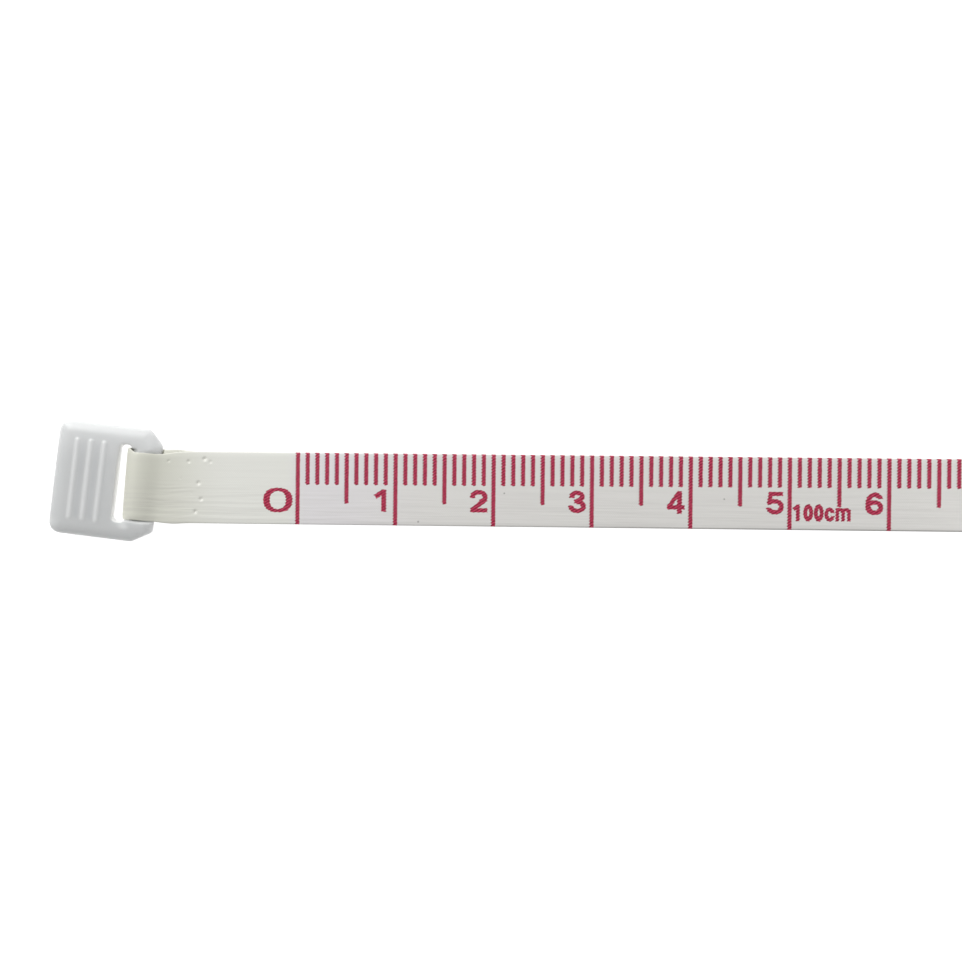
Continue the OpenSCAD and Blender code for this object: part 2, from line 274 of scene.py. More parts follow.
class Net:
    """A new material with a Principled shader, and short ways to add nodes to it."""

    def __init__(self, name, roughness=0.5, **sockets):
        self.mat = bpy.data.materials.new(name)
        self.mat.use_nodes = True
        self.tree = self.mat.node_tree
        self.bsdf = self.tree.nodes["Principled BSDF"]
        self.bsdf.inputs["Roughness"].default_value = roughness
        for key, value in sockets.items():
            self.bsdf.inputs[key.replace("_", " ")].default_value = value

    def add(self, kind, **settings):
        """A new node with these settings."""
        node = self.tree.nodes.new(kind)
        for key, value in settings.items():
            setattr(node, key, value)
        return node

    def plug(self, target, value):
        """Links a value or a socket to a node's input, or sets the input to a constant."""
        if isinstance(value, Value):
            self.tree.links.new(value.socket, target)
        elif isinstance(value, bpy.types.NodeSocket):
            self.tree.links.new(value, target)
        else:
            target.default_value = value

    def math(self, op, *values, clamp=False):
        node = self.add("ShaderNodeMath", operation=op, use_clamp=clamp)
        for target, value in zip(node.inputs, values):
            self.plug(target, value)
        return Value(self, node.outputs[0])

    def position(self, body=None):
        """x, y, z in millimetres, in the piece's own space or in a body's."""
        node = self.add("ShaderNodeTexCoord")
        if body:
            node.object = frame["bodies"][body]
        split = self.add("ShaderNodeSeparateXYZ")
        self.plug(split.inputs[0], node.outputs["Object"])
        return [Value(self, s) * (1 / MM) for s in split.outputs]

    def vector(self, x, y, z):
        node = self.add("ShaderNodeCombineXYZ")
        for target, value in zip(node.inputs, (x, y, z)):
            self.plug(target, value)
        return node.outputs[0]

    def noise(self, x, y, z, scale=1.0, detail=2.0, roughness=0.5):
        node = self.add("ShaderNodeTexNoise")
        self.plug(node.inputs["Vector"], self.vector(x, y, z))
        node.inputs["Scale"].default_value = scale
        node.inputs["Detail"].default_value = detail
        node.inputs["Roughness"].default_value = roughness
        return Value(self, node.outputs["Fac"])

    def mix(self, amount, a, b):
        """Colour a turning to colour b. Either is a colour or another mix."""
        node = self.add("ShaderNodeMix", data_type="RGBA")
        self.plug(node.inputs["Factor"], amount)
        self.plug(node.inputs[6], colour(a))
        self.plug(node.inputs[7], colour(b))
        return node.outputs[2]

    def step(self, value, low, high):
        """0 below low, 1 above high, smooth between."""
        node = self.add("ShaderNodeMapRange", interpolation_type="SMOOTHSTEP")
        self.plug(node.inputs["Value"], value)
        node.inputs["From Min"].default_value = low
        node.inputs["From Max"].default_value = high
        return Value(self, node.outputs[0])

    def colour(self, value):
        self.plug(self.bsdf.inputs["Base Color"], colour(value))

    def roughness(self, value):
        self.plug(self.bsdf.inputs["Roughness"], value)

    def bump(self, height_mm, strength=1.0):
        node = self.add("ShaderNodeBump")
        node.inputs["Strength"].default_value = strength
        node.inputs["Distance"].default_value = MM
        self.plug(node.inputs["Height"], height_mm)
        self.plug(self.bsdf.inputs["Normal"], node.outputs[0])


def colour(value):
    return (*value, 1.0) if isinstance(value, tuple) and len(value) == 3 else value


def srgb(r, g, b):
    """Linear colour of an sRGB one given from 0 to 255."""
    return tuple(((c / 255 + 0.055) / 1.055) ** 2.4 for c in (r, g, b))


# -------------------- printed scale
# Everything here is in millimetres: u from the zero mark towards the case, v down from the tick edge.
TICK_W = 0.44
TICKS = ((1, 3.30), (5, 5.21), (10, TAPE_W + 1))  # (spacing, length)
PRINT_DRIFT = 0.0041  # the print runs this much out of line with the tape
FIGURE_H = 2.2
FIGURE_BASE = 5.95  # v of the figures' feet
FIGURE_GAP = 0.6  # from a figure's right side to its centimetre line
FIGURE_STEP = 1.95  # from one figure to the next in a number
FIGURE_W = 0.79  # widths and the shapes below are in figure heights
LABEL_U, LABEL_BASE, LABEL_H = 50.43, 6.61, 1.6
LABEL_STEPS = (0.0, 1.0, 2.06, 3.12, 4.24, 5.9)
LABEL_KEYS = (12, 13, 13, 10, 11)
PEN = 0.18
THREAD_PITCH = 0.30  # the weave that shows through the ink
THREAD_SWING = 0.035  # and moves the ticks' edges this much


def bar_shape(x, y, x0, x1, y0, y1):
    """Below zero inside an upright rectangle."""
    return ((x - (x0 + x1) / 2).abs() - (x1 - x0) / 2).max((y - (y0 + y1) / 2).abs() - (y1 - y0) / 2)


def stroke_shape(x, y, x0, y0, x1, y1, pen=PEN):
    """Below zero inside a straight stroke with square ends."""
    length = math.hypot(x1 - x0, y1 - y0)
    ex, ey = (x1 - x0) / length, (y1 - y0) / length
    dx, dy = x - x0, y - y0
    along = dx * ex + dy * ey
    across = dy * ex - dx * ey
    return (across.abs() - pen / 2).max((along - length / 2).abs() - length / 2)


def ring_shape(x, y, cx, cy, rx, ry, pen_x=PEN, pen_y=PEN * 0.92, power=2):
    """Below zero inside an oval ring; rx and ry are its outer radii."""
    dx, dy = (x - cx).abs(), (y - cy).abs()
    ix, iy = rx - pen_x, ry - pen_y
    outer = oval(dx, dy, rx, ry, power)
    inner = oval(dx, dy, ix, iy, power)
    return ((outer - 1) * min(rx, ry)).max((1 - inner) * min(ix, iy))


def oval(dx, dy, rx, ry, power):
    """1 on the oval's edge. power 2 is an ellipse, more is squarer."""
    if power == 2:
        return ((dx * dx) * (1 / rx ** 2) + (dy * dy) * (1 / ry ** 2)).sqrt()
    return ((dx * (1 / rx)) ** power + (dy * (1 / ry)) ** power) ** (1 / power)


def six_shape(x, y):
    """A six. Turned about its middle, it is a nine."""
    bowl = ring_shape(x, y, 0.39, 0.325, 0.39, 0.325)
    back = ring_shape(x, y, 0.41, 0.5, 0.41, 0.5)
    cut = (x - 0.41).min(0.745 - y)  # open on the right below the tip
    return bowl.min(back.max(cut))


def figure(key, x, y):
    """The shape of one figure or letter, below zero where it is inked. Keys 0 to 9 are the figures,
    10 and 11 are c and m, and 12 and 13 are the label's narrow 1 and 0."""
    if key == 0:
        return ring_shape(x, y, 0.395, 0.5, 0.395, 0.5, PEN, 0.15)
    if key == 1:
        return bar_shape(x, y, 0.43, 0.62, 0, 0.99).min(stroke_shape(x, y, 0.15, 0.68, 0.50, 0.92, 0.17))
    if key == 2:
        arc = ring_shape(x, y, 0.39, 0.69, 0.385, 0.31)
        arc = arc.max((0.66 - y).min(0.42 - x).min(0.72 - y)).max(0.50 - y)
        return arc.min(stroke_shape(x, y, 0.71, 0.60, 0.10, 0.10)).min(bar_shape(x, y, 0.02, 0.78, 0, 0.155))
    if key == 3:
        top = ring_shape(x, y, 0.38, 0.735, 0.33, 0.265).max((0.37 - x).min(0.70 - y))
        low = ring_shape(x, y, 0.39, 0.29, 0.385, 0.29).max((0.37 - x).min(y - 0.31))
        return top.min(low).min(bar_shape(x, y, 0.27, 0.45, 0.46, 0.59))
    if key == 4:
        legs = bar_shape(x, y, 0.46, 0.65, 0, 1).min(bar_shape(x, y, 0.0, 0.79, 0.20, 0.36))
        return legs.min(stroke_shape(x, y, 0.06, 0.29, 0.54, 0.98, 0.15))
    if key == 5:
        bowl = ring_shape(x, y, 0.39, 0.335, 0.39, 0.335).max((0.30 - x).min(y - 0.27))
        flag = bar_shape(x, y, 0.12, 0.73, 0.85, 1)
        return bowl.min(flag).min(stroke_shape(x, y, 0.20, 0.97, 0.12, 0.45, 0.16)).min(
            stroke_shape(x, y, 0.06, 0.50, 0.34, 0.60, 0.14))
    if key == 6:
        return six_shape(x, y)
    if key == 7:
        return bar_shape(x, y, 0.02, 0.78, 0.85, 1).min(stroke_shape(x, y, 0.70, 0.92, 0.29, 0.0))
    if key == 8:
        return ring_shape(x, y, 0.39, 0.745, 0.34, 0.255).min(ring_shape(x, y, 0.39, 0.29, 0.385, 0.29))
    if key == 9:
        return six_shape(FIGURE_W - x, 1 - y)
    if key == 10:
        opening = (x - 0.36).min(0.12 - (y - 0.405).abs())
        return ring_shape(x, y, 0.30, 0.405, 0.30, 0.405, 0.18, 0.16).max(opening)
    if key == 11:
        stems = bar_shape(x, y, 0.0, 0.165, 0, 0.79).min(bar_shape(x, y, 0.37, 0.53, 0, 0.68))
        stems = stems.min(bar_shape(x, y, 0.735, 0.90, 0, 0.68))
        arches = ring_shape(x, y, 0.265, 0.56, 0.265, 0.24).min(ring_shape(x, y, 0.635, 0.56, 0.265, 0.24))
        return stems.min(arches.max(0.56 - y))
    if key == 12:
        return bar_shape(x, y, 0.16, 0.345, 0, 1).min(stroke_shape(x, y, -0.01, 0.74, 0.22, 0.88, 0.16))
    return ring_shape(x, y, 0.28, 0.5, 0.28, 0.5, 0.19, 0.17)


def ink_shape(net, u, v):
    """Below zero where the tape is inked: ticks, figures, the nought and the length label."""
    v = v + u * PRINT_DRIFT
    ink = None
    for spacing, length in TICKS:
        off = ((u / spacing + 0.5).fract() - 0.5).abs() * spacing
        past = (v - (length - 0.12)).max(0)
        end = (off * off * 0.3 + past * past).sqrt() - 0.12
        tick = (off - TICK_W / 2).max(end).max(0 - TICK_W - u)
        ink = tick if ink is None else ink.min(tick)
    nought = ring_shape(u, v, -2.03, 4.87, 1.5, 1.25, 0.68, 0.34, 2.35)
    ink = ink.min(nought)

    number = (u / 10).floor() + 1
    back = (number * 10 - FIGURE_GAP - u) / FIGURE_STEP  # figures from the right, ones first
    place = back.floor()
    power = net.math("POWER", 10.0, place)
    digit = (number / power + 0.001).floor()
    digit = digit - (digit / 10 + 0.0001).floor() * 10
    shown = (0 - 0.5 - place).max(place - 2.5).max(power - number - 0.5).max(0 - u)
    x = (FIGURE_W * FIGURE_H - (back - place) * FIGURE_STEP) * (1 / FIGURE_H)
    y = (FIGURE_BASE - v) * (1 / FIGURE_H)

    w = u - LABEL_U
    in_label = w.above(-0.2) * w.below(LABEL_STEPS[-1]) * v.above(4.75)
    start = w * 0
    key = start + LABEL_KEYS[0]
    for k in range(1, len(LABEL_KEYS)):
        past = w.above(LABEL_STEPS[k] - 0.08)
        start = start + past * (LABEL_STEPS[k] - LABEL_STEPS[k - 1])
        key = key + past * (LABEL_KEYS[k] - LABEL_KEYS[k - 1])
    x = x + in_label * ((w - start) * (1 / LABEL_H) - x)
    y = y + in_label * ((LABEL_BASE - v) * (1 / LABEL_H) - y)
    digit = digit + in_label * (key - digit)
    shown = shown - in_label * (shown + 1)

    figures = x * 0 + 1
    for key in range(14):
        other = ((digit - key).abs() - 0.5).above(0)
        figures = figures.min(figure(key, x, y) + other)
    return ink.min((figures * FIGURE_H - 0.045 - in_label * 0.02).max(shown))


# -------------------- materials
INK_DEEP = srgb(120, 8, 40)
INK_LIGHT = srgb(216, 74, 106)
LEADER_TINT = srgb(234, 235, 228)
NEAR_ZERO_TINT = srgb(230, 228, 229)
SCALE_TINT = srgb(226, 225, 221)
# Painted shade: the folded end is darker and olive, where the doubled tape lets less light through.
FOLD_SHADE = srgb(219, 220, 207)
EDGE_GLOW = srgb(232, 233, 233)  # painted light on the tab near its sides and outline, where light comes through
SPECKS = ((12.35, 6.93, 0.14), (21.1, 3.95, 0.12), (43.4, 4.3, 0.12))  # dust: (u, v, radius)


def tape_material(name, printed):
    """Coated woven tape: fine weave, streaks along the warp, and the crimson scale on its upper face."""
    net = Net(name, roughness=0.42, Specular_IOR_Level=0.35)
    x, y, z = net.position("tape_end")
    u = x - ZERO_X
    v = TAPE_W / 2 - y
    streak = net.noise(u * 0.10, v * 3.6, 0.0, detail=3.0, roughness=0.6)
    patch = net.noise(u * 0.16, v * 0.35, 3.0, detail=1.0)
    # The folded end gets painted shade, which turns to the leader's tint.
    base = net.mix(net.step(u, -15.5, -6.5), FOLD_SHADE, LEADER_TINT)
    base = net.mix(net.step(u, -1.5, 1.0), base, NEAR_ZERO_TINT)
    base = net.mix(net.step(u, 4.0, 14.0), base, SCALE_TINT)
    base = net.mix(patch * 0.10, base, srgb(226, 214, 220))
    low = net.step(v, 2.2, 5.5) * 0.75 + 0.25
    base = net.mix(((streak - 0.40) * 2.4).clamp() * low * 0.34, base, srgb(184, 182, 178))
    for su, sv, size in SPECKS:
        spot = (u - su) * (u - su) + (v - sv) * (v - sv)
        base = net.mix(net.step(spot, size * size, 0.0) * 0.6, base, srgb(110, 108, 106))
    # Painted shade: a grey band along the plain edge, stronger towards the case, stands in for the shadow
    # line at the tape's lower edge.
    painted_edge_shade = net.step(v, TAPE_W - 0.20, TAPE_W - 0.04) * net.step(u, -18.0, 60.0)
    base = net.mix(painted_edge_shade * 0.75, base, srgb(138, 136, 134))
    warp = (v * (2 * math.pi / 0.27)).sin()
    weft = (u * (2 * math.pi / 0.21)).sin()
    base = net.mix((warp * weft + 1) * 0.03, base, srgb(170, 167, 163))
    if printed:
        twill = ((v + u * 0.6) * (2 * math.pi / THREAD_PITCH)).sin()
        zigzag = (v * (2 * math.pi / THREAD_PITCH)).sin() * THREAD_SWING
        ragged = twill * 0.02 + (net.noise(u * 7.0, v * 7.0, 1.0, detail=2.0) - 0.5) * 0.08
        ink = net.step(ink_shape(net, u + zigzag, v) + ragged, 0.03, -0.03)
        ink = ink * z.above(TAPE_Z)
        blot = net.noise(u * 4.5, v * 4.5, 7.0, detail=4.0, roughness=0.7)
        thread = net.step(twill, -0.6, 0.6) * 0.6
        shade = (thread + (blot - 0.5) * 1.8 + 0.15).clamp()
        base = net.mix(ink, base, net.mix(shade, INK_DEEP, INK_LIGHT))
    net.colour(base)
    net.roughness(streak * 0.18 + 0.34)
    net.bump(warp * weft * 0.003 + streak * 0.035 * low, 0.8)
    return net.mat


def moulded_net(name, tint, shade, roughness, grain=0.004):
    """Injection moulded plastic: slight colour drift, fine grain, faint handling marks."""
    net = Net(name, roughness=roughness, Specular_IOR_Level=0.5)
    x, y, z = net.position()
    drift = net.noise(x * 0.22, y * 0.22, z * 0.22, detail=2.0)
    fine = net.noise(x * 9.0, y * 9.0, z * 9.0, detail=4.0, roughness=0.65)
    scuff = net.step(net.noise(x * 0.9, y * 5.0, z * 2.3, detail=5.0, roughness=0.7), 0.62, 0.78)
    base = net.mix(drift, tint, shade)
    base = net.mix(scuff * 0.10, base, tuple(c * 0.72 for c in tint))
    net.colour(base)
    net.roughness(fine * 0.12 + scuff * 0.10 + (roughness - 0.06))
    net.bump(fine * grain, 0.7)
    return net


def moulded_plastic(name, tint, shade, roughness):
    return moulded_net(name, tint, shade, roughness).mat


def tab_material():
    """Slightly translucent white plastic, with painted light: paler at its sides, outline and straight end,
    round the slot and along the ribs' crests, and painted shade between the ribs.
    """
    net = moulded_net("tab_plastic", srgb(208, 209, 209), srgb(203, 205, 205), 0.42, 0.002)
    x, y, z = net.position("pull_tab")
    c, k = math.cos(SKEW), math.sin(SKEW)
    a = (x - BAR.x) * c - (y - BAR.y) * k
    b = (x - BAR.x) * k + (y - BAR.y) * c
    crest_highlight, valley_shade = rib_masks(net, a, b, z)
    thin, slot_end_highlight = slot_masks(net, a, b)
    # Painted light: paler towards the sides at either end of b.
    sides = net.step(b, 1.5, 4.5) * 0.28 + net.step(0 - b, 3.8, 5.3) * 0.3
    # Painted light: paler within about 0.75 mm of the sides and the straight end, more on the +b side.
    rim = (TAB_W / 2 - (b - TAB_B).abs()).min(TAB_BACK - a)
    rim = net.step(rim, 0.75, 0.05) * (net.step(b, -3, 3) * 0.45 + 0.22)
    base = net.bsdf.inputs["Base Color"].links[0].from_socket
    # Painted shade in the valleys between the ribs.
    base = net.mix(valley_shade * 0.8, base, srgb(198, 200, 201))
    # Painted light: paler towards the straight end at the bar.
    base = net.mix(net.step(a, -1.2, 1.3) * 0.6, base, srgb(234, 235, 235))
    # Painted light: near-white round the slot's outline, where light comes through the slot's walls.
    base = net.mix(thin * 0.85, base, srgb(248, 248, 248))
    base = net.mix(sides, base, EDGE_GLOW)
    # Painted highlight: a soft pale spot beyond the slot's end, where its fillet catches light.
    base = net.mix(slot_end_highlight * 0.5, base, srgb(242, 243, 243))
    base = net.mix(rim, base, EDGE_GLOW)
    # Painted highlight along the ribs' crests.
    net.colour(net.mix(crest_highlight * 0.75, base, srgb(226, 227, 227)))
    net.bsdf.inputs["Subsurface Weight"].default_value = 0.65
    net.bsdf.inputs["Subsurface Scale"].default_value = MM
    net.bsdf.inputs["Subsurface Radius"].default_value = (1.2, 1.2, 1.2)
    return net.mat


def rib_masks(net, a, b, z):
    """1 along the upper ribs' crests, and 1 in the valleys between them: masks for a painted highlight and
    painted shade.
    """
    pitch = RIB_A[1] - RIB_A[0]
    upper = z.above(BAR.z)
    off = (((a - RIB_A[0]) / pitch + 0.5).fract() - 0.5).abs() * pitch
    past = (b.abs() - (RIB_HALF_L - 0.3)).max(0)
    crest_highlight = net.step((off * off + past * past).sqrt(), 0.42, 0.05)
    crest_highlight = crest_highlight * a.above(RIB_A[0] - 0.6) * a.below(RIB_A[2] + 0.6) * upper
    valley_shade = net.step(off, 0.28, 0.62) * a.above(RIB_A[0]) * a.below(RIB_A[2]) * upper
    return crest_highlight, valley_shade * net.step(b.abs(), RIB_HALF_L, RIB_HALF_L - 0.8)


def slot_masks(net, a, b):
    """1 close to the slot's outline, and 1 in a soft spot beyond the slot's end on the plain edge's side:
    masks for painted light and a painted highlight.
    """
    half_a, half_b = (SLOT_A[1] - SLOT_A[0]) / 2, (SLOT_B[1] - SLOT_B[0]) / 2
    in_a = ((a - SLOT_A[0] - half_a).abs() - half_a + SLOT_CORNER).max(0)
    in_b = ((b - SLOT_B[0] - half_b).abs() - half_b + SLOT_CORNER).max(0)
    thin = net.step((in_a * in_a + in_b * in_b).sqrt(), SLOT_CORNER + 0.20, SLOT_CORNER)
    to_a, to_b = (a - SLOT_A[1]) * 1.1, (b - SLOT_B[0] + 0.45) * 2.2
    return thin, net.step((to_a * to_a + to_b * to_b).sqrt(), 1.0, 0.0)


def metal(name, tint, roughness, axis=1):
    """Drawn or turned steel: fine lines along one axis and small stains."""
    net = Net(name, roughness=roughness, Metallic=1.0)
    p = net.position()
    scaled = [c * (0.7 if i == axis else 14.0) for i, c in enumerate(p)]
    lines = net.noise(*scaled, detail=3.0, roughness=0.6)
    stain = net.noise(p[0] * 0.8, p[1] * 0.8, p[2] * 0.8, detail=3.0)
    net.colour(net.mix(stain, tint, tuple(c * 0.82 for c in tint)))
    net.roughness(lines * 0.22 + stain * 0.1 + (roughness - 0.14))
    net.bump(lines * 0.006, 0.6)
    return net.mat


def rubber(name):
    """Black moulded rubber with a fine matt grain."""
    net = Net(name, roughness=0.85, Specular_IOR_Level=0.25)
    x, y, z = net.position()
    fine = net.noise(x * 6.0, y * 6.0, z * 6.0, detail=4.0, roughness=0.7)
    net.colour(net.mix(fine, (0.018, 0.018, 0.018), (0.045, 0.044, 0.042)))
    net.roughness(fine * 0.2 + 0.7)
    net.bump(fine * 0.02, 0.7)
    return net.mat


def cut_film(name):
    """Die-cut plastic sheet with faint directional rolling marks."""
    net = Net(name, roughness=0.5, Specular_IOR_Level=0.4)
    x, y, z = net.position()
    roll = net.noise(x * 0.3, y, z * 7.0, detail=3.0)
    net.colour(net.mix(roll, srgb(226, 219, 196), srgb(208, 200, 176)))
    net.roughness(roll * 0.2 + 0.4)
    net.bump(roll * 0.004, 0.6)
    return net.mat


def floor_material():
    """White table, lit from within enough to read as a pure white background."""
    net = Net("floor_white", roughness=0.9, Specular_IOR_Level=0.1)
    net.bsdf.inputs["Base Color"].default_value = (0.25, 0.25, 0.25, 1)
    net.bsdf.inputs["Emission Color"].default_value = (1, 1, 1, 1)
    net.bsdf.inputs["Emission Strength"].default_value = FLOOR_GLOW
    return net.mat


# -------------------- pull tab
# Local axes: a along the tab, from the bar's axis towards the case; b across it, towards +Y.
TAB_BACK = 1.49
TAB_L = 10.73
TAB_W = 11.66
TAB_B = 0.11  # b of the tab's middle
TAB_T = 2.0
TAB_FRONT = TAB_BACK - TAB_L
TAB_LOW, TAB_HIGH = TAB_B - TAB_W / 2, TAB_B + TAB_W / 2
TAB_CORNERS = (
    (TAB_FRONT, TAB_LOW, 1.2), (TAB_BACK - 2.1, TAB_LOW, 0.9),
    (TAB_BACK, TAB_LOW + 1.2, 0.6), (TAB_BACK, TAB_HIGH - 1.5, 0.9),
    (TAB_BACK - 1.5, TAB_HIGH, 0.9), (TAB_FRONT, TAB_HIGH, 1.25))
RIM_W = 1.3  # the rim is a quarter of an oval, this wide
RIM_H = 0.42
PILLOW_W = 1.95  # and the faces start to fall this far from the edge
PILLOW_H = 0.22
LUG_DROP = 0.25  # the faces fall this much at the straight end
LUG_DROP_L = 1.3  # over this length
SLOT_R = 0.2  # fillet round the slot
SLOT_A = (-2.80, -1.49)
SLOT_B = (-3.81, 4.08)
SLOT_CORNER = 0.5
RIB_A = [TAB_FRONT + 2.03 + 1.4 * k for k in range(3)]
RIB_HALF_L = 8.63 / 2
RIB_HALF_W = 0.40
RIB_H = 0.085
CROWN_B = 0.20  # the faces are this much lower at the sides
CROWN_A = 0.06  # and this much at the ends
BAR_HALF_B = 3.80  # the recess for the tape ends here
SEAT_B = 3.85  # and here on the side where the tape lies flush
SHELF_W = 0.4  # width of the slope at its end
SEAT_W = 0.35
GRID = 0.3  # spacing of the mesh's points on the flat


def crown(a, b):
    """How far the tab's face lies below its middle: arched both ways, and falling near the outline."""
    along = (a - TAB_FRONT - TAB_L / 2) / (TAB_L / 2)
    across = (b - TAB_B) / (TAB_W / 2)
    pillow = max(0.0, 1 - edge_distance(a, b) / PILLOW_W) ** 3
    end = LUG_DROP * smooth((a - TAB_BACK + LUG_DROP_L) / LUG_DROP_L)
    arch = CROWN_B * (0.35 * across ** 2 + 0.65 * across ** 4) + CROWN_A * along ** 2
    return -arch - PILLOW_H * pillow - end


def edge_distance(a, b):
    """Distance in from the tab's outline, with soft corners."""
    total = 0.0
    for i, (x0, y0, _) in enumerate(TAB_CORNERS):
        x1, y1, _ = TAB_CORNERS[(i + 1) % len(TAB_CORNERS)]
        off = ((x1 - x0) * (b - y0) - (y1 - y0) * (a - x0)) / math.hypot(x1 - x0, y1 - y0)
        total += math.exp(-4 * off)
    return max(0.0, -math.log(total) / 4)


def rim_drop(d, width, height):
    """How far an oval rim lies below the flat, at a distance d in from its edge."""
    x = 1 - min(max(d, 0.0), width) / width
    return height * (math.sqrt(max(0.0, 1 - x * x)) - 1)


def bar_height(a):
    """Half thickness of the bar: round where the tape bends, thin where the tape runs off."""
    t = min(max((a - SLOT_A[1]) / (TAB_BACK - SLOT_A[1]), 0.0), 1.0)
    nose = math.sqrt(max(0.0, 1 - (1 - min(t / 0.22, 1.0)) ** 2))
    return 0.14 + (0.50 * nose) * (1 - 0.94 * max(0.0, (t - 0.2) / 0.8) ** 1.15)


def smooth(t):
    t = min(max(t, 0.0), 1.0)
    return t * t * (3 - 2 * t)


def tab_height(a, b, rim, top):
    """Half thickness of the tab at a, b. rim is the rim's drop there, 0 on the flat."""
    h = TAB_T / 2 + crown(a, b) + rim
    for rib in RIB_A:
        along = max(0.0, abs(b) - (RIB_HALF_L - RIB_HALF_W))
        off = math.hypot(a - rib, along) / RIB_HALF_W
        if off < 1:
            h += RIB_H * (1 + math.cos(math.pi * off)) / 2
    if a > SLOT_A[1] - 0.2:
        bar = min(h, bar_height(a))
        open_part = smooth((BAR_HALF_B - abs(b)) / SHELF_W)
        if top:
            seat = max(bar, min(h, under_tape(a)))
            bar += (seat - bar) * smooth((b - 0.5) / 2.5) * smooth((a + 1.45) / 0.6)
            open_part = smooth((BAR_HALF_B + b) / SHELF_W) * smooth((SEAT_B - b) / SEAT_W)
        h += (bar - h) * open_part
    return max(h, 0.06)


def under_tape(a):
    """Height of the underside of the tape where it lies over the bar."""
    upper = [(x, z) for x, z in FOLD_LINE if z >= 0 and x > -1.5][::-1]
    for (x0, z0), (x1, z1) in zip(upper, upper[1:]):
        if x0 <= a <= x1:
            return z0 + (z1 - z0) * (a - x0) / (x1 - x0) - TAPE_T / 2 - 0.06
    return 0.0


def tab_rings():
    """Rings of (a, b, rim) points, in three lists: the tab's rim, the slot's edge and the ribs' slopes."""
    rings = []
    for k in range(11):
        d = RIM_W * (1 - math.cos(math.pi / 2 * k / 10))
        rings.append([(p.x, p.y, rim_drop(d, RIM_W, RIM_H)) for p in rounded(TAB_CORNERS, d, 7, 0.17)])
    slot = ((SLOT_A[0], SLOT_B[0], SLOT_CORNER), (SLOT_A[1], SLOT_B[0], SLOT_CORNER),
            (SLOT_A[1], SLOT_B[1], SLOT_CORNER), (SLOT_A[0], SLOT_B[1], SLOT_CORNER))
    slot_rings = []
    for k in range(6):
        d = SLOT_R * (1 - math.cos(math.pi / 2 * k / 5))
        slot_rings.append([(p.x, p.y, rim_drop(d, SLOT_R, SLOT_R)) for p in rounded(slot, -d, 9, 0.17)])
    ribs = []
    for rib in RIB_A:
        for share in (1.0, 0.86, 0.72, 0.58, 0.44, 0.3, 0.17, 0.05):
            r = RIB_HALF_W * share
            length = RIB_HALF_L - RIB_HALF_W
            box = ((rib - r, -length - r, r), (rib + r, -length - r, r),
                   (rib + r, length + r, r), (rib - r, length + r, r))
            ribs.append([(p.x, p.y, 0.0) for p in rounded(box, 0.0, 6, 0.34)])
    return rings, slot_rings, ribs


def tab_piece():
    """The pull tab: one triangulated plan, lifted to the tab's upper and lower faces."""
    edge, slot, ribs = tab_rings()
    points, edges = [], []
    for ring in edge + slot + ribs:
        first = len(points)
        points += ring
        edges += [(first + i, first + (i + 1) % len(ring)) for i in range(len(ring))]
    points += grid_points() + shelf_points()
    flat = [Vector(p[:2]) for p in points]
    verts, _, faces, origins, _, _ = delaunay_2d_cdt(flat, edges, [], 0, 1e-6)
    rim = [points[o[0]][2] if o else 0.0 for o in origins]
    above = [tab_height(v.x, v.y, r, True) for v, r in zip(verts, rim)]
    below = [tab_height(v.x, v.y, r, False) for v, r in zip(verts, rim)]
    slot_start = sum(len(ring) for ring in edge)
    outlines = (range(len(edge[0])), range(slot_start, slot_start + len(slot[0])))
    line_of = [next((k for k, line in enumerate(outlines) if o and o[0] in line), None) for o in origins]
    faces = [f for f in faces if on_tab([verts[i] for i in f], {line_of[i] for i in f})]

    turn = Matrix.Rotation(-SKEW, 4, "Z")
    top = [turn @ Vector((v.x, v.y, h)) for v, h in zip(verts, above)]
    low = [turn @ Vector((v.x, v.y, -h)) for v, h in zip(verts, below)]
    n = len(verts)
    where = {o: i for i, group in enumerate(origins) for o in group}
    skin = [list(f) for f in faces] + [[i + n for i in f][::-1] for f in faces]
    for outline in outlines:
        for i in range(len(outline)):
            a, b = where[outline[i]], where[outline[(i + 1) % len(outline)]]
            skin.append([b, a, a + n, b + n])
    piece = make_mesh("grip_tab", [p + BAR for p in top + low], skin)
    merge_points(piece, 0.002, 0.001)
    piece.data.shade_smooth()
    piece.data.set_sharp_from_angle(angle=math.radians(50))
    return piece


def grid_points():
    """Evenly spaced points on the tab's flat."""
    spots = [(TAB_FRONT + 0.2 + i * GRID, TAB_LOW + 0.1 + k * GRID, 0.0)
             for i in range(int(TAB_L / GRID)) for k in range(int(TAB_W / GRID) + 1)]
    return [p for p in spots if free_spot(p[0], p[1])]


def shelf_points():
    """Extra points where the tab's faces step down to the bar."""
    points = []
    slopes = ((-BAR_HALF_B, -BAR_HALF_B + SHELF_W), (BAR_HALF_B - SHELF_W, SEAT_B))
    for low, high in slopes:
        for i in range(21):
            a = SLOT_A[1] + 0.26 + i * 0.13
            for k in range(7):
                points.append((a, low + (high - low) * k / 6, rim_drop(TAB_BACK - a, RIM_W, RIM_H)))
    return points


def on_tab(corners, outlines):
    """False for triangles in the slot's rounded outline, and for slivers along a straight outline."""
    p = sum(corners, Vector((0, 0))) / 3
    e, f = corners[1] - corners[0], corners[2] - corners[0]
    if len(outlines) == 1 and None not in outlines and abs(e.x * f.y - e.y * f.x) < 1e-4:
        return False
    dx = max(SLOT_A[0] + SLOT_CORNER - p.x, p.x - SLOT_A[1] + SLOT_CORNER, 0.0)
    dy = max(SLOT_B[0] + SLOT_CORNER - p.y, p.y - SLOT_B[1] + SLOT_CORNER, 0.0)
    return math.hypot(dx, dy) >= SLOT_CORNER


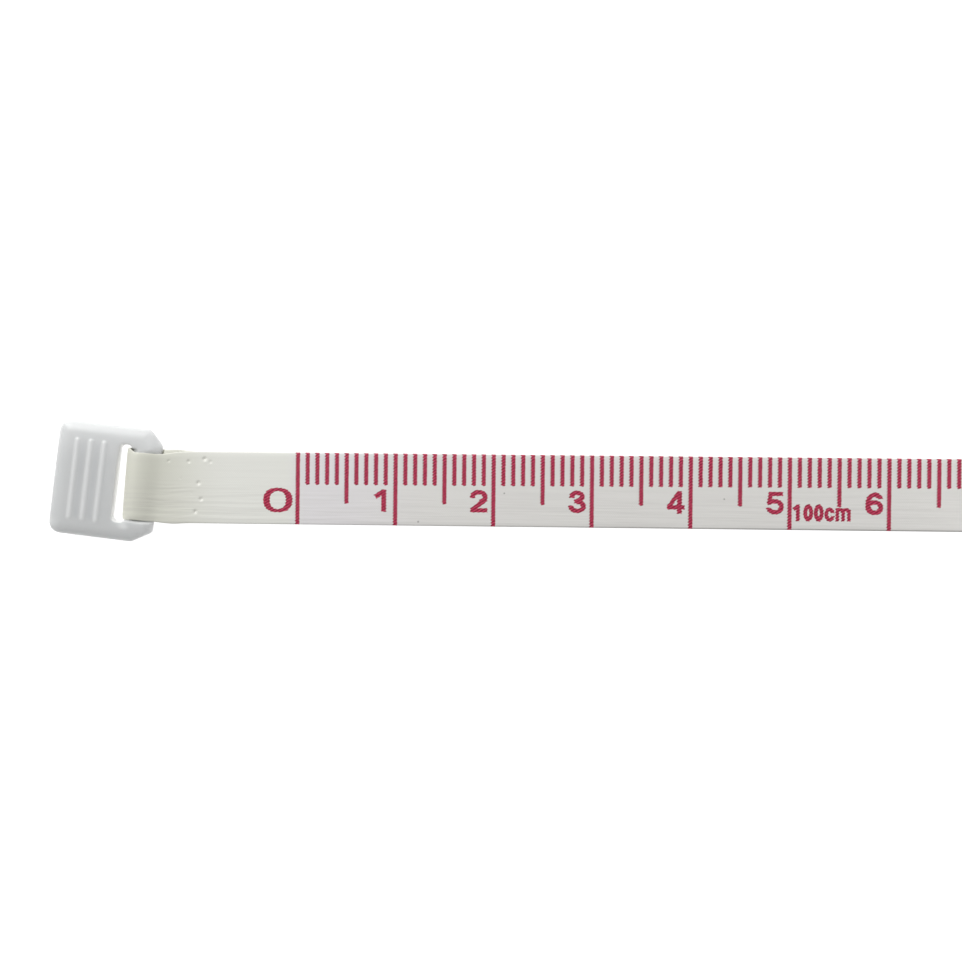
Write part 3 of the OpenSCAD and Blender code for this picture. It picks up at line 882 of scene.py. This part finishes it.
def free_spot(a, b):
    """True on the tab's flat, away from its rings."""
    inset = RIM_W + 0.12
    if not (TAB_FRONT + inset < a < TAB_BACK - inset and TAB_LOW + inset < b < TAB_HIGH - inset):
        return False
    if a + abs(b - TAB_B) > TAB_BACK + TAB_W / 2 - 1.3 - inset * 1.42:  # cut-off corners
        return False
    if SLOT_A[0] - 0.5 < a < SLOT_A[1] + 0.5 and SLOT_B[0] - 0.5 < b < SLOT_B[1] + 0.5:
        return False
    return all(abs(a - rib) > RIB_HALF_W + 0.1 or abs(b) > RIB_HALF_L + 0.1 for rib in RIB_A)


# -------------------- tape
FOLD_END = ZERO_X - 8.0  # the strip ends here and the folded piece begins
HELD_X = -10.0  # the tape is still straight here, inside the mouth
SHOULDER_W = 0.6  # the faces round off this near the edges
SHOULDER_DROP = 0.055
NOSE_R = 0.12


def face_height(y):
    """Height of the tape's face above its middle plane: round shoulders, and a ridge near the plain edge."""
    s = TAPE_W / 2 - abs(y)
    ridge = 0.009 * math.exp(-((s - 0.62) / 0.13) ** 2) - 0.006 * math.exp(-((s - 0.95) / 0.16) ** 2)
    if y > 0:
        ridge = 0.0
    shoulder = SHOULDER_DROP * max(0.0, 1 - s / SHOULDER_W) ** 2
    nose = math.sqrt(max(0.0, 1 - max(0.0, 1 - s / NOSE_R) ** 2))
    return (TAPE_T / 2 - 0.016 + ridge - shoulder) * nose


def edge_profile():
    """Tape's cross-section as (y, z) points round its outline."""
    half = TAPE_W / 2
    insets = [NOSE_R * (1 - math.sin(math.pi / 2 * k / 6)) for k in range(7)][::-1]
    insets += [0.16, 0.22, 0.29, 0.37, 0.45, 0.52, 0.58, 0.64, 0.70, 0.77, 0.85, 0.95, 1.06, 1.2, 2.4]
    upper = [(half - i, face_height(half - i)) for i in insets]
    upper += [(0.0, face_height(0.0))] + [(-y, z) for y, z in upper[::-1]]
    return upper + [(y, -z) for y, z in upper[-2:0:-1]]


def strip_piece():
    """The free tape, with only one long row of faces, from inside the mouth to the fold."""
    profile = edge_profile()
    inside = [HELD_X * k / 4 for k in range(5)]
    stations = [BLADE_HI.x] + inside[1:] + [FOLD_END]
    rings = [[(x, y, TAPE_Z + z) for y, z in profile] for x in stations]
    piece = make_mesh("tape_strip", *loft(rings))
    piece.data.set_sharp_from_angle(angle=math.radians(60))
    return piece


# Centre line of the folded end seen from the side: (distance from the bar, height), from the strip
# over the bar, down through the slot and back under
FOLD_LINE = ((7.85, 0.0), (6.6, 0.0), (5.2, 0.01), (4.0, 0.06), (2.9, 0.18), (2.0, 0.35), (1.45, 0.50),
             (0.9, 0.71), (0.3, 0.96), (-0.3, 1.13), (-0.85, 1.16), (-1.36, 0.97), (-1.74, 0.52),
             (-1.83, -0.12), (-1.6, -0.60), (-1.0, -0.86), (-0.2, -0.86), (0.8, -0.62), (1.5, -0.37),
             (2.1, -0.20), (2.9, -0.17), (4.0, -0.28), (5.0, -0.31), (6.65, -0.31))
# Heat stakes through both layers: (distance from the zero mark, across, size)
STAKES = ((-13.4, 2.79, 0.13), (-11.23, 2.66, 0.17), (-9.58, 2.93, 0.21), (-8.97, 2.63, 0.15),
          (-10.2, 0.45, 0.21), (-9.93, -1.19, 0.19), (-10.5, -2.48, 0.20),
          (-12.05, 0.95, 0.08), (-10.9, -0.59, 0.08))
ARCH = 0.05  # the fold's edges hang this much lower over the bar
DROOP = 0.34  # and its plain edge this much lower again
FOLD_SKEW = 0.68 * SKEW  # the tape follows only part of the tab's turn


def curve_points(knots, step):
    """Points about step apart on a smooth curve through the knots (Catmull-Rom)."""
    k = [Vector(p) for p in knots]
    k = [k[0] * 2 - k[1]] + k + [k[-1] * 2 - k[-2]]
    out = []
    for i in range(1, len(k) - 2):
        n = max(1, round((k[i + 1] - k[i]).length / step))
        for j in range(n):
            t = j / n
            out.append(0.5 * ((2 * k[i]) + (k[i + 1] - k[i - 1]) * t
                              + (2 * k[i - 1] - 5 * k[i] + 4 * k[i + 1] - k[i + 2]) * t * t
                              + (3 * k[i] - k[i - 1] - 3 * k[i + 1] + k[i + 2]) * t ** 3))
    return out + [k[-2]]


def edge_reach(p, side):
    """Half width of the folded tape, pinched where it lies over the bar."""
    over = smooth((3.6 - p.x) / 2.6) * smooth((p.x + 1.7) / 0.8) if p.y > 0 else 0.0
    return TAPE_W / 2 - (0.22 if side > 0 else 0.20) * over


def side_step(p):
    """The bend and the under layer lie this much towards the ticked edge."""
    if p.y > 0:
        return 0.20 * smooth((-1.2 - p.x) / 0.6)
    return 0.20 + 0.10 * smooth((p.x + 1.8) / 1.2) - 0.30 * smooth((p.x - 2.8) / 2.6)


def stake_press(u, y):
    """How far the upper face is pressed in by the heat stakes, with a small lip below each."""
    press = 0.0
    for su, sy, size in STAKES:
        r2 = (u - su) ** 2 + (y - sy) ** 2
        press -= 0.8 * size * math.exp(-r2 / (0.75 * size) ** 2)
        lip = (u - su) ** 2 * 0.5 + (y - sy + size * 1.5) ** 2
        press += 0.12 * size * math.exp(-lip / (0.8 * size) ** 2)
    return press


def ripple(u, y):
    """Puckers along the tape between the bar and the stakes."""
    along = smooth((u + 16.4) / 1.8) * smooth((-9.6 - u) / 1.6)
    low = math.exp(-((y + 1.0) / 1.9) ** 2)
    wave = math.sin(y * 15.9 + 0.6 * math.sin(u * 1.3)) * (0.6 + 0.4 * math.sin(u * 0.9 + y * 2.3))
    wide = math.sin(y * 10.7 + 0.8 * math.sin(u * 0.8 + 2.0))
    wave += 0.7 * wide * (0.6 + 0.4 * math.sin(u * 1.4 - y * 1.7))
    wave += 0.5 * math.sin(y * 5.1 + u * 0.5 + 1.0)
    return 0.010 * along * low * wave


def fold_piece():
    """The folded end: a strip swept along FOLD_LINE, turned with the tab at the bar."""
    path = curve_points(FOLD_LINE, 0.1)
    profile = edge_profile()
    fine = [TAPE_W / 2 - 1.2 - (TAPE_W - 2.4) * k / 48 for k in range(1, 48)]
    upper = [y for y, z in profile[:22]] + fine + [y for y, z in profile[23:44]]
    upper = sorted(set(round(y, 5) for y in upper), reverse=True)
    ring = [(y, face_height(y)) for y in upper] + [(y, -face_height(y)) for y in upper[-2:0:-1]]
    rows = []
    for i, p in enumerate(path):
        d = (path[min(i + 1, len(path) - 1)] - path[max(i - 1, 0)]).normalized()
        normal = Vector((d.y, -d.x))
        rows.append([fold_point(p, normal, y, z) for y, z in ring])
    piece = make_mesh("tape_fold", *loft(rows))
    piece.data.set_sharp_from_angle(angle=math.radians(60))
    return piece


def fold_point(p, normal, y, z):
    """A point of the fold: p on the centre line, y across the tape, z out of it along normal."""
    half = TAPE_W / 2
    over = smooth((3.4 - p.x) / 3.0)
    y = y * edge_reach(p, y) / half + side_step(p)
    q = Vector((p.x, p.y)) + normal * z
    top = smooth((p.y + 0.5) / 1.0)
    height = q.y - over * top * (ARCH * (y / half) ** 2 + DROOP * ((half - y) / TAPE_W) ** 2)
    if p.y > 0 or p.x > 5:
        u = BAR.x + q.x - ZERO_X
        height += (stake_press(u, y) + ripple(u, y)) * smooth((p.x + 1.6) / 0.8)
    w = smooth((5.0 - p.x) / 4.4)
    c, k = math.cos(FOLD_SKEW), math.sin(FOLD_SKEW)
    turned = (q.x * c + y * k, y * c - q.x * k)
    return Vector((BAR.x + turned[0] * w + q.x * (1 - w), turned[1] * w + y * (1 - w), TAPE_Z + height))


# -------------------- case and button
MOUTH_CORNER = 1.5
CASE_CIRCLES = (
    (MOUTH_X + MOUTH_CORNER, MOUTH_CORNER, MOUTH_CORNER), (11.6, 6.0, 6.0), (8.6, CASE_H - 9, 9.0),
    (-8.6, CASE_H - 9, 9.0), (MOUTH_X + MOUTH_CORNER, 5.5, MOUTH_CORNER))
RIM_R = 1.2  # rounded edge of the case's faces
SEAM = 0.10  # small bevel on both sides of the parting line
FRONT_GROOVE_R = 7.6
BACK_GROOVES_R = (10.2, 11.2)
BUTTON_R = 5.32
BUTTON_EDGE = 0.42  # rounding of the button's edge
BUTTON_DISH = 0.32  # depth of its dished face


def case_envelope(outer_y, split_y):
    """Outer form of one shell: rounded at its face, with a fine bevel at the parting line."""
    sign = 1 if outer_y > split_y else -1
    levels = [(RIM_R * (1 - math.sin(a)), outer_y - sign * RIM_R * (1 - math.cos(a)))
              for a in (math.pi / 2 * k / 8 for k in range(9))]
    levels += [(0.0, split_y + sign * SEAM), (SEAM, split_y)]
    rings = [[(x, y, z) for x, z in wrap(CASE_CIRCLES, inset, 18)] for inset, y in levels]
    return make_mesh("envelope", *loft(rings), smooth=False)


def around_reel(r, y, steps=96):
    """A ring of points about the reel's axis."""
    return [(r * math.cos(2 * math.pi * k / steps), y, REEL_Z + r * math.sin(2 * math.pi * k / steps))
            for k in range(steps)]


def lathe(profile):
    """A solid of revolution about the reel's axis. profile is (radius, y) from axis to axis."""
    rings = [around_reel(r, y) for r, y in profile]
    return make_mesh("lathe", *loft(rings), smooth=False)


def groove(radius, y, depth, width):
    """Ring-shaped cutter with a round floor."""
    sides = 12
    angles = [2 * math.pi * k / sides for k in range(sides)]
    rings = [around_reel(radius + width / 2 * math.cos(a), y + depth * math.sin(a)) for a in angles]
    n = len(rings[0])
    points = [p for ring in rings for p in ring]
    faces = [(k * n + s, (k + 1) % sides * n + s, (k + 1) % sides * n + (s + 1) % n, k * n + (s + 1) % n)
             for s in range(n) for k in range(sides)]
    return make_mesh("groove", points, faces, smooth=False)


def front_piece():
    """Front shell: rounded at its face, with a ring groove round the button."""
    piece = copy_of_node("front_shell", "case_front")
    boolean(piece, case_envelope(FRONT_LO.y, SPLIT_Y), "INTERSECT")
    boolean(piece, groove(FRONT_GROOVE_R, FRONT_LO.y, 0.28, 0.7), "DIFFERENCE")
    return finish_shading(piece)


def back_piece():
    """Back shell: rounded at its face, with two ring grooves."""
    piece = copy_of_node("back_shell", "case_back")
    boolean(piece, case_envelope(BACK_HI.y, SPLIT_Y), "INTERSECT")
    for radius in BACK_GROOVES_R:
        boolean(piece, groove(radius, BACK_HI.y, 0.2, 0.45), "DIFFERENCE")
    return finish_shading(piece)


def button_piece():
    """Button with a dished thumb face and a rounded edge."""
    piece = copy_of_node("push_button", "button_cap")
    r, face, axis_r = BUTTON_R, BUTTON_LO.y, 0.001
    profile = [(axis_r, BUTTON_HI.y + 0.5), (r + 1, BUTTON_HI.y + 0.5), (r + 1, face + 0.9), (r, face + 0.62)]
    for k in range(7):
        a = math.pi / 2 * k / 6
        profile.append((r - BUTTON_EDGE + BUTTON_EDGE * math.cos(a), face + 0.44 - BUTTON_EDGE * math.sin(a)))
    for k in range(13):
        t = 1 - k / 12
        profile.append((r * 0.86 * t + axis_r, face + 0.03 + BUTTON_DISH * (1 - t ** 2)))
    boolean(piece, lathe(profile), "INTERSECT")
    return finish_shading(piece)


# -------------------- scene
FLOOR_GLOW = 0.96
SURROUND = 0.21  # strength of the world's light
LIGHT_AIM = Vector((-60, 0, 5))
CAMERA_DISTANCE = 300.0
CAMERA_TILT = math.radians(3.08)
CAMERA_ROLL = math.radians(0.604)
CAMERA_LENS = 110.4
AIM = Vector((ZERO_X + 18.72, 0.956, TAPE_Z + TAPE_T / 2))


def make_camera():
    """Looks down on the printed face; the case's side of the tape is a little nearer."""
    back = Vector((math.sin(CAMERA_TILT), 0, math.cos(CAMERA_TILT)))
    up = Vector((0, 1, 0))
    right = up.cross(back)
    right_r = right * math.cos(CAMERA_ROLL) + up * math.sin(CAMERA_ROLL)
    up_r = up * math.cos(CAMERA_ROLL) - right * math.sin(CAMERA_ROLL)
    data = bpy.data.cameras.new("camera")
    data.lens = CAMERA_LENS
    data.sensor_width = 36.0
    cam = bpy.data.objects.new("camera", data)
    bpy.context.scene.collection.objects.link(cam)
    cam.matrix_world = Matrix.Translation((AIM + back * CAMERA_DISTANCE) * MM) @ Matrix(
        (right_r, up_r, back)).transposed().to_4x4()
    data.clip_start, data.clip_end = 0.01, 10.0
    bpy.context.scene.camera = cam


def area_light(name, at, size, power):
    """A rectangular lamp that points at the middle of the tape."""
    data = bpy.data.lights.new(name, "AREA")
    data.shape = "RECTANGLE"
    data.size, data.size_y = size[0] * MM, size[1] * MM
    data.energy = power
    light = bpy.data.objects.new(name, data)
    bpy.context.scene.collection.objects.link(light)
    light.location = Vector(at) * MM
    light.rotation_mode = "QUATERNION"
    light.rotation_quaternion = (LIGHT_AIM - Vector(at)).to_track_quat("-Z", "Y")


def make_lights():
    """A soft key from the upper left, a weak fill from below in the picture, and a white surround."""
    area_light("key_light", (-300, 420, 400), (260, 260), 3.6)
    area_light("fill_light", (60, -440, 330), (400, 400), 0.62)
    world = bpy.data.worlds.new("studio")
    world.use_nodes = True
    world.node_tree.nodes["Background"].inputs["Color"].default_value = (1, 1, 1, 1)
    world.node_tree.nodes["Background"].inputs["Strength"].default_value = SURROUND
    bpy.context.scene.world = world


def make_floor():
    """A wide table, just under the base plane."""
    size = 4000.0
    points = [(-size, -size, 0), (size, -size, 0), (size, size, 0), (-size, size, 0)]
    floor = make_mesh("floor", points, [(0, 1, 2, 3)])
    floor.location.z = -0.02 * MM
    floor.data.materials.append(floor_material())


def dress(obj, material):
    """Gives an object this one material."""
    obj.data.materials.clear()
    obj.data.materials.append(material)


def add_tab():
    tab = tab_piece()
    dress(tab, tab_material())
    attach(tab, "pull_tab")
    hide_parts("pull_tab")


def add_strip():
    strip = strip_piece()
    dress(strip, tape_material("tape_printed", True))
    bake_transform(strip)
    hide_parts("tape_blade")


def add_fold(material):
    fold = fold_piece()
    dress(fold, material)
    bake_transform(fold)
    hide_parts("tape_loop")


def add_case_and_button():
    case_plastic = moulded_plastic("case_plastic", srgb(208, 209, 207), srgb(203, 205, 204), 0.36)
    button_plastic = moulded_plastic("button_plastic", INK_DEEP, srgb(150, 26, 58), 0.36)
    for make, node, body, material, slot in (
            (front_piece, "front_shell", "case", case_plastic, "case_plastic"),
            (back_piece, "back_shell", "case", case_plastic, "case_plastic"),
            (button_piece, "push_button", "button", button_plastic, "button_plastic")):
        piece = make()
        dress(piece, material)
        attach(piece, body)
        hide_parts(node)


def add_return_spring(material):
    """The button's spring is pressed together between the button and the post."""
    coil = copy_of_node("button_spring", "return_spring")
    dress(coil, material)
    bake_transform(coil)
    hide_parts("button_spring")


def dress_inner_nodes(tape, spring):
    """Materials for the CAD nodes that keep their own meshes."""
    steel = metal("screw_steel", (0.62, 0.62, 0.63), 0.34)
    film = cut_film("film_plastic")
    kept = {
        "case_screws": steel, "centre_post": metal("post_steel", (0.58, 0.58, 0.58), 0.3),
        "thrust_washer": film, "spring_plate": film, "spring_cover": film,
        "spool_drum": moulded_plastic("reel_plastic", (0.5, 0.51, 0.52), (0.46, 0.47, 0.48), 0.5),
        "mainspring": spring, "tape_coil": tape, "tape_anchor_pin": steel,
        "brake_disc": moulded_plastic("brake_plastic", (0.035, 0.035, 0.037), (0.05, 0.05, 0.052), 0.5),
        "friction_ring": rubber("brake_rubber"), "brake_clip": spring}
    for node, material in kept.items():
        dress(frame["nodes"][node], material)


def build():
    bpy.context.scene.view_settings.view_transform = "Standard"
    plain_tape = tape_material("tape_plain", False)
    spring_steel = metal("spring_steel", (0.36, 0.38, 0.43), 0.3)
    make_camera()
    add_tab()
    add_strip()
    add_fold(plain_tape)
    add_case_and_button()
    add_return_spring(spring_steel)
    dress_inner_nodes(plain_tape, spring_steel)
    make_floor()
    make_lights()


build()
